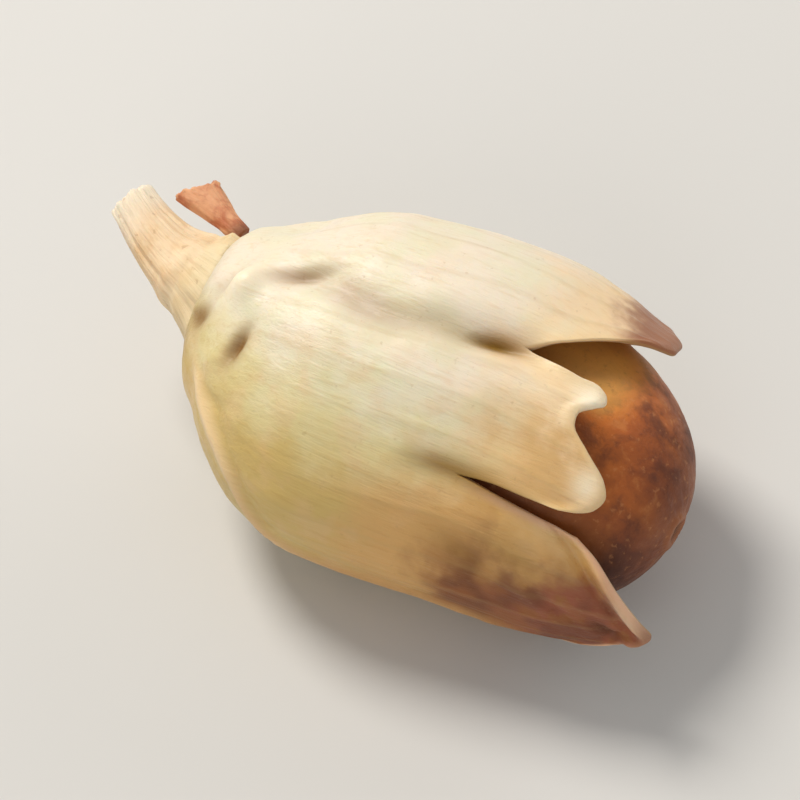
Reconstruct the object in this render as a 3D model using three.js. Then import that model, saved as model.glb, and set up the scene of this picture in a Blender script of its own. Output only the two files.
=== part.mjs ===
// A single husked sorghum spikelet: one grain held between two leathery husk scales (glumes), with
// the cut piece of raceme stalk that carried it and the broken pedicel of its sterile neighbour.
// Millimetres, +Z up, +X from the stalk to the gaping mouth of the husk. It lies on the keel and
// one cheek of its upper glume, with the broad lower glume turned up.

import * as THREE from 'three';
import { mergeGeometries, mergeVertices } from 'three/addons/utils/BufferGeometryUtils.js';

// ---------------------------------------------------------------- driving dimensions

const ROLL_DEG = 18.71;         // lean of the broad face to the -Y side
const PITCH_DEG = 3.44;        // the mouth lies this much lower

const GLUME_THICKNESS = 0.13;
const EDGE_THICKNESS = 0.05;    // at the free margins and tips
const GAP = 0.025;              // between pieces that touch

// The husk's outer surface, by distance from its base along X.
const BODY_X = [-0.3, 0.0, 0.11, 0.3, 0.51, 0.97, 1.56, 2.35, 3.09, 3.76, 4.36, 5.0, 5.5];
const HALF_WIDTH = [0.45, 0.63, 0.85, 1.05, 1.24, 1.54, 1.74, 1.785, 1.76, 1.67, 1.52, 1.29, 1.1];
const DORSAL_HEIGHT = [0.4, 0.55, 0.72, 0.88, 1.02, 1.22, 1.37, 1.42, 1.38, 1.28, 1.13, 0.9, 0.7];
const VENTRAL_HEIGHT = [0.36, 0.5, 0.64, 0.8, 0.94, 1.14, 1.29, 1.34, 1.31, 1.21, 1.03, 0.75, 0.55];
const AXIS_Y = [0.0, -0.03, -0.09, -0.14, -0.19, -0.25, -0.235, -0.16, -0.11, -0.15, -0.22, -0.28, -0.32];

// The split tip of the lower glume. Angles are round the body, 0 on the crest of the lower glume,
// positive to +Y. Curves are lists of [parameter, x, angle].
const SPLIT = 0.7;              // share of the length at which the three lobes part
const LEFT_MARGIN = [[0, 0.02, -108], [0.25, 1.15, -118], [0.5, 2.3, -117], [0.72, 3.3, -113], [0.9, 4.05, -106], [1, 4.5, -99]];
const LOWER_SEAM = [[0, 0.02, -27], [0.35, 1.56, -29], [0.7, 3.1, -29]];
const UPPER_SEAM = [[0, 0.02, 15], [0.35, 1.6, 15], [0.53, 2.4, 15.5], [0.7, 3.17, 18.5]];
const RIGHT_MARGIN = [[0, 0.02, 106], [0.25, 1.15, 116], [0.5, 2.3, 115], [0.72, 3.2, 110], [0.9, 3.62, 106], [1, 3.85, 103]];

const FLAP_SLIT_SIDE = [[0.7, 3.1, -29], [0.8, 3.48, -30], [0.9, 3.9, -31], [1, 4.31, -31.5]];
const FLAP_TIP = [[0, 4.5, -99], [0.22, 4.85, -88], [0.42, 5.12, -77], [0.54, 5.22, -69.5], [0.66, 5.08, -60], [0.82, 4.78, -46], [0.93, 4.52, -36], [1, 4.31, -31.5]];

const MIDDLE_LOWER_SIDE = [[0.7, 3.1, -29], [0.8, 3.46, -26.8], [0.9, 3.78, -26], [1, 4.05, -25]];
const MIDDLE_TIP = [[0, 4.05, -25], [0.1, 4.22, -23], [0.22, 4.35, -19.5], [0.34, 4.4, -14.5], [0.44, 4.33, -9.5], [0.56, 4.08, -3.5],
  [0.66, 3.88, 1.5], [0.73, 3.86, 5], [0.82, 3.97, 9.5], [0.9, 4.05, 13], [0.95, 4.02, 15.3], [1, 3.92, 16.6]];
const MIDDLE_UPPER_SIDE = [[0.7, 3.17, 18.5], [0.8, 3.45, 16.5], [0.9, 3.7, 16], [1, 3.92, 16.6]];

const TOP_SLIT_SIDE = [[0.7, 3.17, 18.5], [0.8, 3.45, 24.5], [0.9, 3.78, 35], [1, 4.08, 46]];
const TOP_TIP = [[0, 4.08, 46], [0.16, 4.25, 52], [0.32, 4.36, 59], [0.48, 4.36, 68], [0.66, 4.24, 80], [0.82, 4.08, 91], [1, 3.85, 103]];

// The upper glume, angles as above.
const KEEL = [[0, 0], [0.9, 0.02], [1.5, 0.04], [2.35, 0.065], [3.1, 0.1], [3.8, 0.165], [4.4, 0.21], [5, 0.21]];  // height of the keel by x
const KEEL_HALF_DEG = 9;
const TUCK = 0.118;             // how far its margins lie under the lower glume's
const UPPER_LEFT = [[0, 0.04, 103], [0.3, 1.3, 110], [0.6, 2.6, 110], [0.85, 3.6, 114], [1, 4.1, 124]];
const UPPER_RIGHT = [[0, 0.04, 256], [0.3, 1.3, 249], [0.6, 2.6, 249], [0.85, 3.55, 245], [1, 4.05, 236]];
const UPPER_TIP = [[0, 4.1, 124], [0.2, 4.26, 140], [0.4, 4.4, 162], [0.5, 4.5, 180], [0.6, 4.4, 197], [0.8, 4.24, 219], [1, 4.05, 236]];

// The grain.
const GRAIN_HALF = [2.07, 1.47, 1.08];
const GRAIN_AT = [2.93, -0.18, 0.0];
const GRAIN_YAW_DEG = -5;
const GERM_DEPTH = 0.1;

// The stalk piece: [parameter, x, y, half width] of its centre line, cut end first.
const STALK = [[0, -1.25, 0.55, 0.235], [0.12, -1.1, 0.45, 0.25], [0.4, -0.68, 0.22, 0.32], [0.62, -0.32, 0.09, 0.44],
  [0.76, -0.1, 0.0, 0.57], [0.8, -0.015, -0.03, 0.62], [0.801, -0.014, -0.03, 0.44], [0.88, 0.18, -0.06, 0.43], [0.95, 0.5, -0.07, 0.27], [1, 0.8, -0.06, 0.15]];
const STALK_FLATTEN = 0.84;

// The pedicel stub: root, end, and half widths.
const PEDICEL_ROOT = [-0.1, 0.665, -0.14];
const PEDICEL_END = [-0.73, 0.925, -0.14];
const PEDICEL_HALF = [0.1, 0.215];
const PEDICEL_THICK = [0.09, 0.1];

const DEG = Math.PI / 180;

// ---------------------------------------------------------------- curves

// smooth interpolation that never overshoots its points
function pchip(xs, ys) {
  const n = xs.length;
  const h = [], d = [], m = new Array(n).fill(0);
  for (let i = 0; i < n - 1; i++) {
    h.push(xs[i + 1] - xs[i]);
    d.push((ys[i + 1] - ys[i]) / h[i]);
  }
  for (let i = 1; i < n - 1; i++) {
    if (d[i - 1] * d[i] > 0) {
      const w1 = 2 * h[i] + h[i - 1], w2 = h[i] + 2 * h[i - 1];
      m[i] = (w1 + w2) / (w1 / d[i - 1] + w2 / d[i]);
    }
  }
  m[0] = d[0];
  m[n - 1] = d[n - 2];
  return (x) => {
    let i = 0;
    while (i < n - 2 && x > xs[i + 1]) i++;
    const t = Math.min(1, Math.max(0, (x - xs[i]) / h[i]));
    const t2 = t * t, t3 = t2 * t;
    return (2 * t3 - 3 * t2 + 1) * ys[i] + (t3 - 2 * t2 + t) * h[i] * m[i] +
      (-2 * t3 + 3 * t2) * ys[i + 1] + (t3 - t2) * h[i] * m[i + 1];
  };
}

function track(rows) {
  const t = rows.map((r) => r[0]);
  const columns = rows[0].slice(1).map((_, k) => pchip(t, rows.map((r) => r[k + 1])));
  return (u) => columns.map((f) => f(u));
}

const clamp = (x) => Math.min(1, Math.max(0, x));
const smooth = (a, b, x) => {
  const t = clamp((x - a) / (b - a));
  return t * t * (3 - 2 * t);
};
const bump = (x, centre, width) => Math.exp(-Math.pow((x - centre) / width, 2));

// ---------------------------------------------------------------- the husk's body surface

const halfWidth = pchip(BODY_X, HALF_WIDTH);
const dorsal = pchip(BODY_X, DORSAL_HEIGHT);
const ventral = pchip(BODY_X, VENTRAL_HEIGHT);
const axisY = pchip(BODY_X, AXIS_Y);

function bodyPoint(x, deg, out) {
  const a = deg * DEG, c = Math.cos(a);
  return out.set(x, axisY(x) + halfWidth(x) * Math.sin(a), (c >= 0 ? dorsal(x) : ventral(x)) * c);
}

const p0 = new THREE.Vector3(), p1 = new THREE.Vector3(), p2 = new THREE.Vector3(), p3 = new THREE.Vector3(), normal = new THREE.Vector3();
function bodyNormal(x, deg, out) {
  bodyPoint(x - 0.02, deg, p0);
  bodyPoint(x + 0.02, deg, p1);
  bodyPoint(x, deg - 0.5, p2);
  bodyPoint(x, deg + 0.5, p3);
  return out.crossVectors(p1.sub(p0), p3.sub(p2)).normalize();
}

// a point at a signed height over the body surface
function over(x, deg, height, out) {
  bodyPoint(x, deg, out);
  bodyNormal(x, deg, normal);
  return out.addScaledVector(normal, height);
}

// ---------------------------------------------------------------- curved scales

// A box whose length, width and thickness are laid along a scale. Wall triangles for which
// isShared says so are left out, where the next lobe grows on without a joint.
function laidBox(nt, nw, map, isShared) {
  const box = new THREE.BoxGeometry(1, 1, 1, nt, nw, 1);
  box.deleteAttribute('normal');
  box.deleteAttribute('uv');
  const p = box.attributes.position, src = box.index, kept = [];
  for (let i = 0; i < src.count; i += 3) {
    const tri = [src.getX(i), src.getX(i + 1), src.getX(i + 2)];
    if (!isShared || !isShared(tri.map((k) => [p.getX(k) + 0.5, p.getY(k) + 0.5]))) kept.push(...tri);
  }
  box.setIndex(kept);
  const v = new THREE.Vector3();
  for (let i = 0; i < p.count; i++) {
    map(p.getX(i) + 0.5, p.getY(i) + 0.5, p.getZ(i) + 0.5, v);
    p.setXYZ(i, v.x, v.y, v.z);
  }
  return box;
}

// where on the body a scale's grid point lies: sides are followed, and the tip curve fades in
function place(left, right, tip, t, w) {
  const l = left(t), r = right(t), l1 = left(1), r1 = right(1), e = tip(w), k = Math.pow(t, 5);
  return [0, 1].map((i) => l[i] + (r[i] - l[i]) * w + k * (e[i] - l1[i] - (r1[i] - l1[i]) * w));
}

// a seam as far as the split, then one lip of the slit
function lip(seam, slit) {
  const a = track(seam), b = track(slit);
  return (t) => (t <= SPLIT + 1e-6 ? a(t) : b(t));
}

const LOBES = [
  { left: track(LEFT_MARGIN), right: lip(LOWER_SEAM, FLAP_SLIT_SIDE), tip: track(FLAP_TIP), across: 14, freeLeft: true, freeRight: false },
  { left: lip(LOWER_SEAM, MIDDLE_LOWER_SIDE), right: lip(UPPER_SEAM, MIDDLE_UPPER_SIDE), tip: track(MIDDLE_TIP), across: 14, freeLeft: false, freeRight: false },
  { left: lip(UPPER_SEAM, TOP_SLIT_SIDE), right: track(RIGHT_MARGIN), tip: track(TOP_TIP), across: 12, freeLeft: false, freeRight: true },
];
const GLUME_ROWS = 30;

// height of the lower glume's outer face over the plain body
function lowerRise(k, t, w, x, deg) {
  const parted = smooth(SPLIT, 0.9, t);
  let h = -0.05 * bump(deg, 17, 5) * smooth(2.1, 2.8, x) * (1 - parted) - 0.03 * bump(deg, -29, 5) * smooth(2.4, 3, x) * (1 - parted);
  if (k === 0) h += parted * (-0.05 * smooth(0.75, 1, w) + 0.02 * smooth(0.95, 1, t));
  if (k === 1) h += parted * (0.045 + 0.03 * smooth(0.75, 1, Math.abs(2 * w - 1)));
  if (k === 2) h += parted * 0.04 * (1 - smooth(0, 0.4, w));
  return h;
}

function lowerThickness(k, t, w) {
  const lobe = LOBES[k];
  const d = [(1 - t) * 9];
  if (lobe.freeLeft) d.push(w * 4.5);
  if (lobe.freeRight) d.push((1 - w) * 4.5);
  if (!lobe.freeLeft) d.push(1 - smooth(SPLIT, 0.8, t) * (1 - clamp(w * 8)));
  if (!lobe.freeRight) d.push(1 - smooth(SPLIT, 0.8, t) * (1 - clamp((1 - w) * 8)));
  return EDGE_THICKNESS + (GLUME_THICKNESS - EDGE_THICKNESS) * clamp(Math.min(...d));
}

function lowerGlume() {
  const parts = LOBES.map((lobe, k) => laidBox(GLUME_ROWS, lobe.across, (t, w, layer, out) => {
    const [x, deg] = place(lobe.left, lobe.right, lobe.tip, t, w);
    over(x, deg, lowerRise(k, t, w, x, deg) - (1 - layer) * lowerThickness(k, t, w), out);
  }, (c) => {
    const joined = c.every((q) => q[0] <= SPLIT + 1e-6);
    return joined && ((!lobe.freeLeft && c.every((q) => q[1] < 1e-6)) || (!lobe.freeRight && c.every((q) => q[1] > 1 - 1e-6)));
  }));
  return mergeVertices(mergeGeometries(parts), 1e-4);
}

const UPPER = { left: track(UPPER_LEFT), right: track(UPPER_RIGHT), tip: track(UPPER_TIP) };
const keelHeight = track(KEEL);
function upperGlume() {
  return mergeVertices(laidBox(26, 24, (t, v, layer, out) => {
    const w = 0.5 + 0.5 * Math.sign(v - 0.5) * Math.pow(Math.abs(2 * v - 1), 1.35);
    const [x, deg] = place(UPPER.left, UPPER.right, UPPER.tip, t, w);
    const off = Math.abs(deg - 180);
    const tuck = TUCK * smooth(46, 66, off) + GAP * (1 - smooth(0, 0.5, x));
    const keel = keelHeight(x)[0] * bump(deg, 180, KEEL_HALF_DEG);
    const edge = clamp(Math.min(w * 7, (1 - w) * 7, (1 - t) * 9));
    const thick = EDGE_THICKNESS + (GLUME_THICKNESS - EDGE_THICKNESS) * edge;
    over(x, deg, keel - tuck - (1 - layer) * thick, out);
  }), 1e-4);
}

// ---------------------------------------------------------------- grain, stalk and pedicel

function grain() {
  const g = new THREE.SphereGeometry(1, 26, 18);
  g.deleteAttribute('normal');
  g.deleteAttribute('uv');
  g.rotateZ(-Math.PI / 2);
  const m = mergeVertices(g, 1e-5), p = m.attributes.position;
  for (let i = 0; i < p.count; i++) {
    const x = p.getX(i), r = Math.hypot(p.getY(i), p.getZ(i));
    // blunt at the mouth, drawn in towards the hilum at the base
    const n = x > 0 ? 2.25 : 1.86, k = r < 1e-6 ? 1 : Math.pow(1 - Math.pow(Math.min(1, Math.abs(x)), n), 1 / n) / r;
    const y = p.getY(i) * k, z = p.getZ(i) * k;
    // the germ is a shallow oval hollow on the lower face, near the base
    const germ = z < 0 ? bump(x, -0.35, 0.42) * bump(y, 0, 0.3) * GERM_DEPTH : 0;
    p.setXYZ(i, GRAIN_HALF[0] * x, GRAIN_HALF[1] * y * (1 - 0.03 * x), GRAIN_HALF[2] * z + germ);
  }
  m.rotateZ(GRAIN_YAW_DEG * DEG);
  m.translate(...GRAIN_AT);
  return m;
}

function stalk() {
  const along = track(STALK);
  const stops = [0, 0.03, 0.12, 0.22, 0.32, 0.42, 0.52, 0.6, 0.67, 0.73, 0.77, 0.8, 0.801, 0.85, 0.9, 0.96, 1];
  const c = new THREE.CylinderGeometry(1, 1, stops.length - 1, 18, stops.length - 1, false);
  c.deleteAttribute('normal');
  c.deleteAttribute('uv');
  const m = mergeVertices(c, 1e-5), p = m.attributes.position;
  for (let i = 0; i < p.count; i++) {
    const k = Math.round(p.getY(i) + (stops.length - 1) / 2);
    const u = stops[k];
    const [x, y, r0] = along(u);
    const [xa, ya] = along(Math.max(0, u - 0.02)), [xb, yb] = along(Math.min(1, u + 0.02));
    const len = Math.hypot(xb - xa, yb - ya);
    const square = smooth(0.5, 0.75, u);           // the callus faces the husk squarely
    let tx = (xb - xa) / len * (1 - square) + square, ty = (yb - ya) / len * (1 - square);
    const tl = Math.hypot(tx, ty);
    tx /= tl;
    ty /= tl;
    const angle = Math.atan2(p.getZ(i), p.getX(i)), onAxis = Math.hypot(p.getX(i), p.getZ(i)) < 1e-6;
    const ribs = 1 + 0.05 * Math.cos(3 * angle + 0.6) * (1 - smooth(0.6, 0.8, u));
    const r = onAxis ? 0 : r0 * ribs;
    p.setXYZ(i, x - ty * r * Math.cos(angle), y + tx * r * Math.cos(angle), r * STALK_FLATTEN * Math.sin(angle));
  }
  return m;
}

function pedicel() {
  const c = new THREE.CylinderGeometry(1, 1, 1, 12, 5, false);
  c.deleteAttribute('normal');
  c.deleteAttribute('uv');
  const m = mergeVertices(c, 1e-5), p = m.attributes.position;
  const root = new THREE.Vector3(...PEDICEL_ROOT), end = new THREE.Vector3(...PEDICEL_END);
  const axis = end.clone().sub(root).normalize(), side = new THREE.Vector3(-axis.y, axis.x, 0).normalize();
  for (let i = 0; i < p.count; i++) {
    const u = p.getY(i) + 0.5;
    const half = PEDICEL_HALF[0] + (PEDICEL_HALF[1] - PEDICEL_HALF[0]) * Math.pow(u, 1.4);
    const thick = PEDICEL_THICK[0] + (PEDICEL_THICK[1] - PEDICEL_THICK[0]) * u;
    const v = root.clone().lerp(end, u).addScaledVector(side, p.getX(i) * half);
    v.addScaledVector(axis, 0.05 * p.getX(i) * u);
    v.z += p.getZ(i) * thick;
    p.setXYZ(i, v.x, v.y, v.z);
  }
  return m;
}

// ---------------------------------------------------------------- assembly

function outward(g) {
  const p = g.attributes.position, idx = g.index;
  const a = new THREE.Vector3(), b = new THREE.Vector3(), c = new THREE.Vector3();
  let volume = 0;
  for (let i = 0; i < idx.count; i += 3) {
    a.fromBufferAttribute(p, idx.getX(i));
    b.fromBufferAttribute(p, idx.getX(i + 1));
    c.fromBufferAttribute(p, idx.getX(i + 2));
    volume += a.dot(b.cross(c)) / 6;
  }
  if (volume < 0) {
    for (let i = 0; i < idx.count; i += 3) {
      const t = idx.getX(i);
      idx.setX(i, idx.getX(i + 1));
      idx.setX(i + 1, t);
    }
  }
  g.computeVertexNormals();
  return g;
}

const spikelet = new THREE.Group();
function add(name, geometry, color, roughness) {
  const mesh = new THREE.Mesh(outward(geometry), new THREE.MeshStandardMaterial({ color, roughness, metalness: 0 }));
  mesh.name = name;
  spikelet.add(mesh);
}

add('lower_glume', lowerGlume(), 0xe2dab0, 0.5);
add('upper_glume', upperGlume(), 0xc9b684, 0.55);
add('grain', grain(), 0x9c5526, 0.6);
add('rachis_stub', stalk(), 0xead2ac, 0.6);
add('pedicel_stub', pedicel(), 0xe09a78, 0.6);

// laid down as it rests: leaned, then set on the surface with its middle over the origin
spikelet.rotation.set(ROLL_DEG * DEG, PITCH_DEG * DEG, 0, 'YXZ');
const group = new THREE.Group();
group.add(spikelet);
group.updateMatrixWorld(true);
const box = new THREE.Box3().setFromObject(group, true);
group.position.set(-(box.min.x + box.max.x) / 2, -(box.min.y + box.max.y) / 2, -box.min.z);
group.updateMatrixWorld(true);

export default group;
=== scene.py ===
# Looks of one husked sorghum spikelet: lower and upper glume, grain, the cut piece of raceme stalk
# with its callus, and the broken pedicel beside it. Each piece is built in the spikelet's own frame,
# in millimetres (+X from the base to the mouth, +Z out of the lower glume), and then laid down.

import math

import bpy
import numpy as np
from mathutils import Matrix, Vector


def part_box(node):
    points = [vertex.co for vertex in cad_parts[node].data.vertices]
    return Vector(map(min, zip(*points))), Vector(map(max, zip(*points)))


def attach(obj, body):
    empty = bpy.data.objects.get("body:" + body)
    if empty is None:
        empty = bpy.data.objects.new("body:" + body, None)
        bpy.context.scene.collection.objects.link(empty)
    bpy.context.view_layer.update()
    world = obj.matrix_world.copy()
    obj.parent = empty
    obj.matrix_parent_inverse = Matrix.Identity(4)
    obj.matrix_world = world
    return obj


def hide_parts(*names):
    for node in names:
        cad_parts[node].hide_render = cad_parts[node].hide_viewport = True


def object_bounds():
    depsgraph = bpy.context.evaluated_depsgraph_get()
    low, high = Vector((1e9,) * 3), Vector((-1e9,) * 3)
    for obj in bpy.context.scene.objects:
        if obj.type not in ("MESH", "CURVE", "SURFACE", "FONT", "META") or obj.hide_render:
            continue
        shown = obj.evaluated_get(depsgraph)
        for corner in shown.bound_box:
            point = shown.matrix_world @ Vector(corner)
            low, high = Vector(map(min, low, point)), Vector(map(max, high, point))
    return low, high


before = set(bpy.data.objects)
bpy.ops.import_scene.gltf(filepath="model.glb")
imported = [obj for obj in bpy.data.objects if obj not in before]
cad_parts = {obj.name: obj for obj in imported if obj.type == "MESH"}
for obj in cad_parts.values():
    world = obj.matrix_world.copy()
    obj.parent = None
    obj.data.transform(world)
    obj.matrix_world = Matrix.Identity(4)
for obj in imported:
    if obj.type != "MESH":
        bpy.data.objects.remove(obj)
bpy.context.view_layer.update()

# ---------------------------------------------------------------- dimensions (mm, degrees)

ROLL_DEG, PITCH_DEG = 18.71, 3.44
GLUME_THICKNESS, EDGE_THICKNESS, GAP = 0.13, 0.05, 0.025

BODY_X = [-0.3, 0.0, 0.11, 0.3, 0.51, 0.97, 1.56, 2.35, 3.09, 3.76, 4.36, 5.0, 5.5]
HALF_WIDTH = [0.45, 0.63, 0.85, 1.05, 1.24, 1.54, 1.74, 1.785, 1.76, 1.67, 1.52, 1.29, 1.1]
DORSAL_HEIGHT = [0.4, 0.55, 0.72, 0.88, 1.02, 1.22, 1.37, 1.42, 1.38, 1.28, 1.13, 0.9, 0.7]
VENTRAL_HEIGHT = [0.36, 0.5, 0.64, 0.8, 0.94, 1.14, 1.29, 1.34, 1.31, 1.21, 1.03, 0.75, 0.55]
AXIS_Y = [0.0, -0.03, -0.09, -0.14, -0.19, -0.25, -0.235, -0.16, -0.11, -0.15, -0.22, -0.28, -0.32]

SPLIT = 0.7
LEFT_MARGIN = [[0, 0.02, -108], [0.25, 1.15, -118], [0.5, 2.3, -117], [0.72, 3.3, -113], [0.9, 4.05, -106], [1, 4.5, -99]]
LOWER_SEAM = [[0, 0.02, -27], [0.35, 1.56, -29], [0.7, 3.1, -29]]
UPPER_SEAM = [[0, 0.02, 15], [0.35, 1.6, 15], [0.53, 2.4, 15.5], [0.7, 3.17, 18.5]]
RIGHT_MARGIN = [[0, 0.02, 106], [0.25, 1.15, 116], [0.5, 2.3, 115], [0.72, 3.2, 110], [0.9, 3.62, 106], [1, 3.85, 103]]
FLAP_SLIT_SIDE = [[0.7, 3.1, -29], [0.8, 3.48, -30], [0.9, 3.9, -31], [1, 4.31, -31.5]]
FLAP_TIP = [[0, 4.5, -99], [0.22, 4.85, -88], [0.42, 5.12, -77], [0.54, 5.22, -69.5], [0.66, 5.08, -60], [0.82, 4.78, -46],
            [0.93, 4.52, -36], [1, 4.31, -31.5]]
MIDDLE_LOWER_SIDE = [[0.7, 3.1, -29], [0.8, 3.46, -26.8], [0.9, 3.78, -26], [1, 4.05, -25]]
MIDDLE_TIP = [[0, 4.05, -25], [0.1, 4.22, -23], [0.22, 4.35, -19.5], [0.34, 4.4, -14.5], [0.44, 4.33, -9.5], [0.56, 4.08, -3.5],
              [0.66, 3.88, 1.5], [0.73, 3.86, 5], [0.82, 3.97, 9.5], [0.9, 4.05, 13], [0.95, 4.02, 15.3], [1, 3.92, 16.6]]
MIDDLE_UPPER_SIDE = [[0.7, 3.17, 18.5], [0.8, 3.45, 16.5], [0.9, 3.7, 16], [1, 3.92, 16.6]]
TOP_SLIT_SIDE = [[0.7, 3.17, 18.5], [0.8, 3.45, 24.5], [0.9, 3.78, 35], [1, 4.08, 46]]
TOP_TIP = [[0, 4.08, 46], [0.16, 4.25, 52], [0.32, 4.36, 59], [0.48, 4.36, 68], [0.66, 4.24, 80], [0.82, 4.08, 91], [1, 3.85, 103]]

KEEL = [[0, 0], [0.9, 0.02], [1.5, 0.04], [2.35, 0.065], [3.1, 0.1], [3.8, 0.165], [4.4, 0.21], [5, 0.21]]
KEEL_HALF_DEG, TUCK = 9, 0.118
UPPER_LEFT = [[0, 0.04, 103], [0.3, 1.3, 110], [0.6, 2.6, 110], [0.85, 3.6, 114], [1, 4.1, 124]]
UPPER_RIGHT = [[0, 0.04, 256], [0.3, 1.3, 249], [0.6, 2.6, 249], [0.85, 3.55, 245], [1, 4.05, 236]]
UPPER_TIP = [[0, 4.1, 124], [0.2, 4.26, 140], [0.4, 4.4, 162], [0.5, 4.5, 180], [0.6, 4.4, 197], [0.8, 4.24, 219], [1, 4.05, 236]]

GRAIN_HALF, GRAIN_AT, GRAIN_YAW_DEG, GERM_DEPTH = [2.07, 1.47, 1.08], [2.93, -0.18, 0.0], -5, 0.1

STALK = [[0, -1.25, 0.55, 0.235], [0.12, -1.1, 0.45, 0.25], [0.4, -0.68, 0.22, 0.32], [0.62, -0.32, 0.09, 0.44],
         [0.76, -0.1, 0.0, 0.57], [0.8, -0.015, -0.03, 0.62], [0.801, -0.014, -0.03, 0.44], [0.88, 0.18, -0.06, 0.43],
         [0.95, 0.5, -0.07, 0.27], [1, 0.8, -0.06, 0.15]]
STALK_FLATTEN = 0.84
PEDICEL_ROOT, PEDICEL_END = [-0.1, 0.665, -0.14], [-0.73, 0.925, -0.14]
PEDICEL_HALF, PEDICEL_THICK = [0.1, 0.215], [0.09, 0.1]

# ---------------------------------------------------------------- curves


def pchip(xs, ys):
    xs, ys = np.asarray(xs, float), np.asarray(ys, float)
    n = len(xs)
    h = np.diff(xs)
    d = np.diff(ys) / h
    m = np.zeros(n)
    for i in range(1, n - 1):
        if d[i - 1] * d[i] > 0:
            w1, w2 = 2 * h[i] + h[i - 1], h[i] + 2 * h[i - 1]
            m[i] = (w1 + w2) / (w1 / d[i - 1] + w2 / d[i])
    m[0], m[-1] = d[0], d[-1]

    def f(x):
        x = np.asarray(x, float)
        i = np.clip(np.searchsorted(xs, x, side="left") - 1, 0, n - 2)
        t = np.clip((x - xs[i]) / h[i], 0, 1)
        t2, t3 = t * t, t * t * t
        return ((2 * t3 - 3 * t2 + 1) * ys[i] + (t3 - 2 * t2 + t) * h[i] * m[i]
                + (-2 * t3 + 3 * t2) * ys[i + 1] + (t3 - t2) * h[i] * m[i + 1])

    return f


def track(rows):
    t = [r[0] for r in rows]
    cols = [pchip(t, [r[k] for r in rows]) for k in range(1, len(rows[0]))]
    return lambda u: [f(u) for f in cols]


def smooth(a, b, x):
    t = np.clip((np.asarray(x, float) - a) / (b - a), 0, 1)
    return t * t * (3 - 2 * t)


def bump(x, centre, width):
    return np.exp(-(((x - centre) / width) ** 2))


# smooth random field on a lattice, from -1 to 1
LATTICE = np.random.default_rng(20417).uniform(-1, 1, (48, 48, 48))


def noise3(p, shift=0.0):
    p = p + np.array([shift * 1.37 + 500.0, shift * 2.11 + 500.0, shift * 0.73 + 500.0])
    i = np.floor(p).astype(int)
    f = p - i
    f = f * f * f * (f * (f * 6 - 15) + 10)
    out = 0.0
    for a in (0, 1):
        for b in (0, 1):
            for c in (0, 1):
                w = ((f[..., 0] if a else 1 - f[..., 0]) * (f[..., 1] if b else 1 - f[..., 1])
                     * (f[..., 2] if c else 1 - f[..., 2]))
                out = out + w * LATTICE[(i[..., 0] + a) % 48, (i[..., 1] + b) % 48, (i[..., 2] + c) % 48]
    return out


def fbm(p, octaves=3, shift=0.0):
    out, amp = 0.0, 1.0
    for k in range(octaves):
        out = out + amp * noise3(p * 2.03 ** k, shift + 7.3 * k)
        amp *= 0.5
    return out / 1.6


# ---------------------------------------------------------------- the husk's body surface

half_width = pchip(BODY_X, HALF_WIDTH)
dorsal = pchip(BODY_X, DORSAL_HEIGHT)
ventral = pchip(BODY_X, VENTRAL_HEIGHT)
axis_y = pchip(BODY_X, AXIS_Y)


def body_point(x, deg):
    a = np.radians(deg)
    c = np.cos(a)
    return np.stack([x, axis_y(x) + half_width(x) * np.sin(a), np.where(c >= 0, dorsal(x), ventral(x)) * c], -1)


def body_normal(x, deg):
    n = np.cross(body_point(x + 0.02, deg) - body_point(x - 0.02, deg), body_point(x, deg + 0.5) - body_point(x, deg - 0.5))
    return n / np.linalg.norm(n, axis=-1, keepdims=True)


def over(x, deg, height):
    return body_point(x, deg) + body_normal(x, deg) * height[..., None]


def place(left, right, tip, t, w):
    l, r, l1, r1, e, k = left(t), right(t), left(1.0), right(1.0), tip(w), t ** 5
    return [l[i] + (r[i] - l[i]) * w + k * (e[i] - l1[i] - (r1[i] - l1[i]) * w) for i in (0, 1)]


def lip(seam, slit):
    a, b = track(seam), track(slit)

    def f(t):
        t = np.asarray(t, float)
        return [np.where(t <= SPLIT + 1e-6, p, q) for p, q in zip(a(t), b(t))]

    return f


# ---------------------------------------------------------------- laying down

_cr, _sr = math.cos(math.radians(ROLL_DEG)), math.sin(math.radians(ROLL_DEG))
_cp, _sp = math.cos(math.radians(PITCH_DEG)), math.sin(math.radians(PITCH_DEG))
TURN = np.array([[_cp, 0, _sp], [0, 1, 0], [-_sp, 0, _cp]]) @ np.array([[1, 0, 0], [0, _cr, -_sr], [0, _sr, _cr]])


def grain_shape(q):
    """q: points of the unit sphere, x from hilum to mouth. Returns the grain's surface in its own frame."""
    x, y, z = q[..., 0], q[..., 1], q[..., 2]
    r = np.hypot(y, z)
    n = np.where(x > 0, 2.25, 1.86)
    k = np.where(r < 1e-6, 1.0, (np.clip(1 - np.clip(np.abs(x), 0, 1) ** n, 0, 1)) ** (1 / n) / np.maximum(r, 1e-6))
    y, z = y * k, z * k
    germ = np.where(z < 0, bump(x, -0.35, 0.42) * bump(y, 0, 0.3) * GERM_DEPTH, 0.0)
    return np.stack([GRAIN_HALF[0] * x, GRAIN_HALF[1] * y * (1 - 0.03 * x), GRAIN_HALF[2] * z + germ], -1)


def grain_place(p):
    a = math.radians(GRAIN_YAW_DEG)
    c, s = math.cos(a), math.sin(a)
    return np.stack([c * p[..., 0] - s * p[..., 1], s * p[..., 0] + c * p[..., 1], p[..., 2]], -1) + np.array(GRAIN_AT)


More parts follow.
